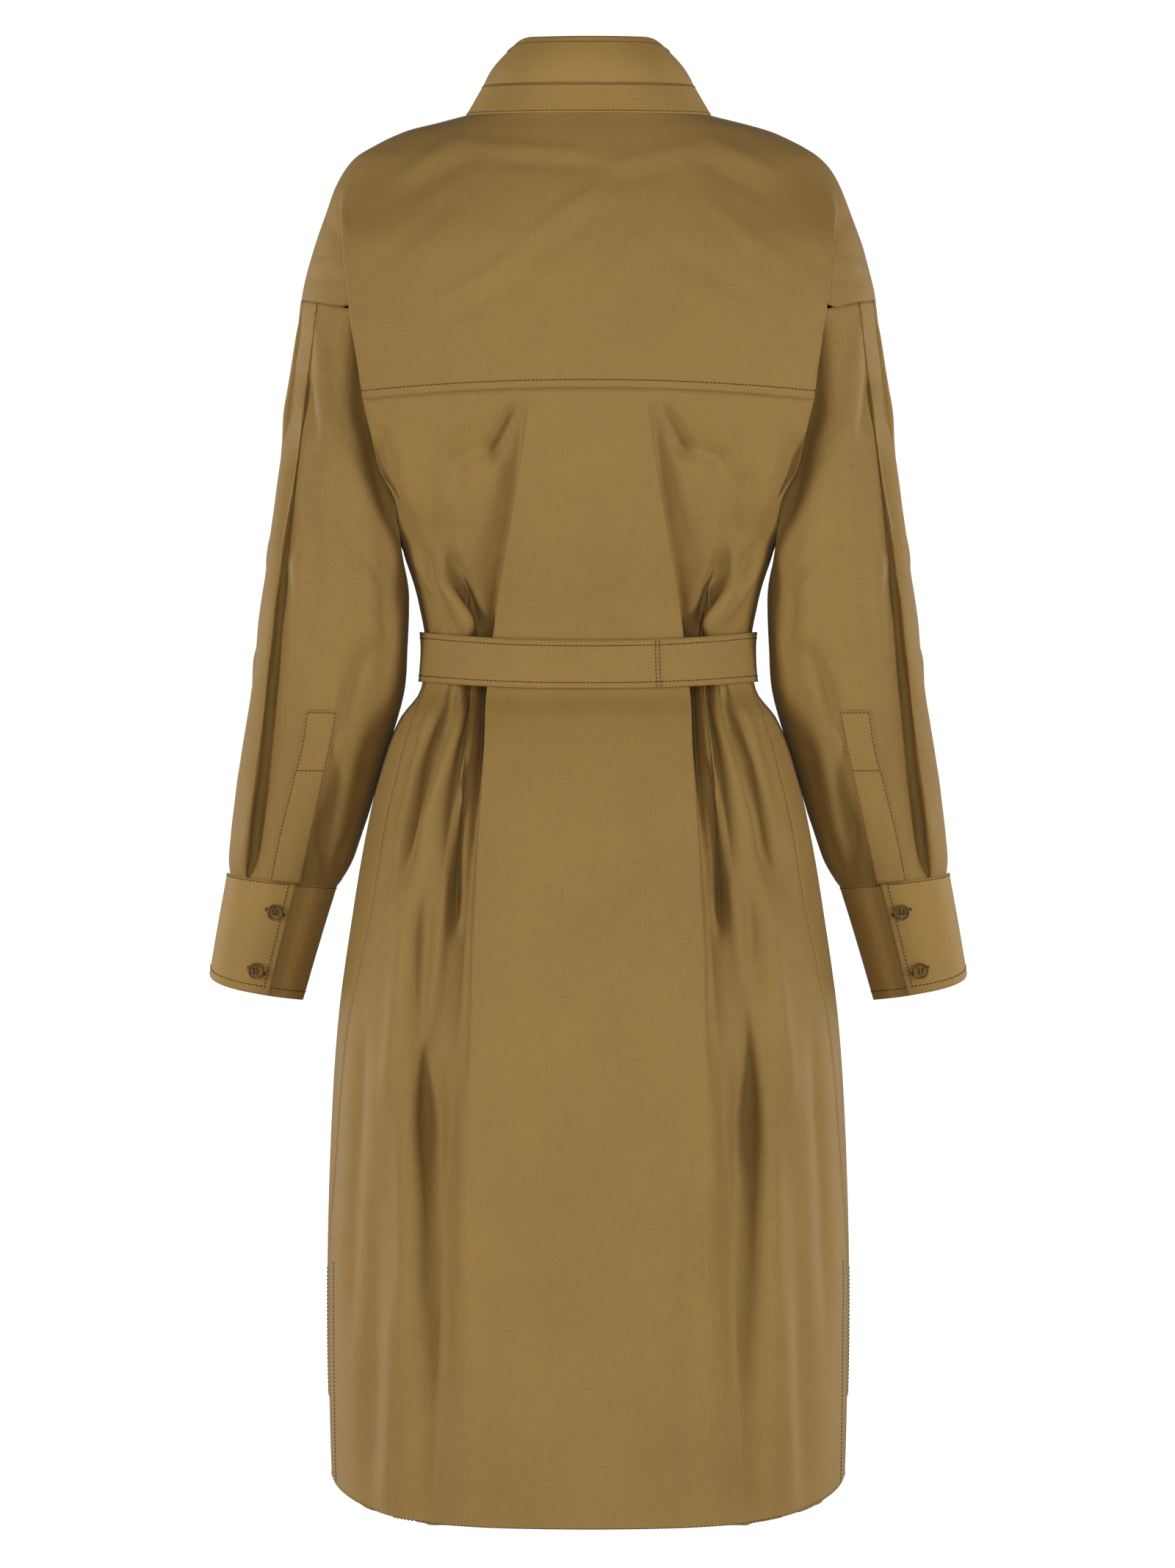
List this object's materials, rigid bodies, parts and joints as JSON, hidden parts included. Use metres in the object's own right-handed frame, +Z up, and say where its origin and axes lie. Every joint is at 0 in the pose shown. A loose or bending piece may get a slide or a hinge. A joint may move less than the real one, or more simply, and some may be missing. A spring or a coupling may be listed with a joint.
{
  "type": "shirt dress",
  "caption": "Belted midi shirt dress in olive-tan cotton poplin, worn and filled out, with a stand-up collar, back box pleat and cuffed long sleeves.",
  "frame": {"origin": "centre of the neck opening, level with the neck seam at centre back", "axes": "+Z up along the wearer, +Y towards the back of the dress, +X to the wearer's right"},
  "size_m": [0.6, 0.2868, 1.171],
  "materials": {
    "cloth": "olive-tan cotton poplin, fine plain weave with a slight sheen",
    "belt_cloth": "the same poplin, interlined and edge-stitched",
    "buttons": "polished brown resin with a raised rim"
  },
  "bodies": {
    "root": {"back_panel": "cloth", "yoke": "cloth", "front_right": "cloth", "front_left": "cloth", "front_placket": "cloth", "sleeve_right": "cloth", "sleeve_placket_right": "cloth", "cuff_right": "cloth", "sleeve_left": "cloth", "sleeve_placket_left": "cloth", "cuff_left": "cloth", "collar_stand": "cloth", "collar": "cloth", "belt": "belt_cloth", "belt_knot": "belt_cloth", "belt_tail_right": "belt_cloth", "belt_tail_left": "belt_cloth", "cuff_button_right_1": "buttons", "cuff_button_right_2": "buttons", "cuff_button_left_1": "buttons", "cuff_button_left_2": "buttons", "front_button_1": "buttons", "front_button_2": "buttons", "front_button_3": "buttons", "front_button_4": "buttons", "front_button_5": "buttons", "front_button_6": "buttons", "front_button_7": "buttons", "front_button_8": "buttons", "stand_button": "buttons"}
  },
  "joints": []
}
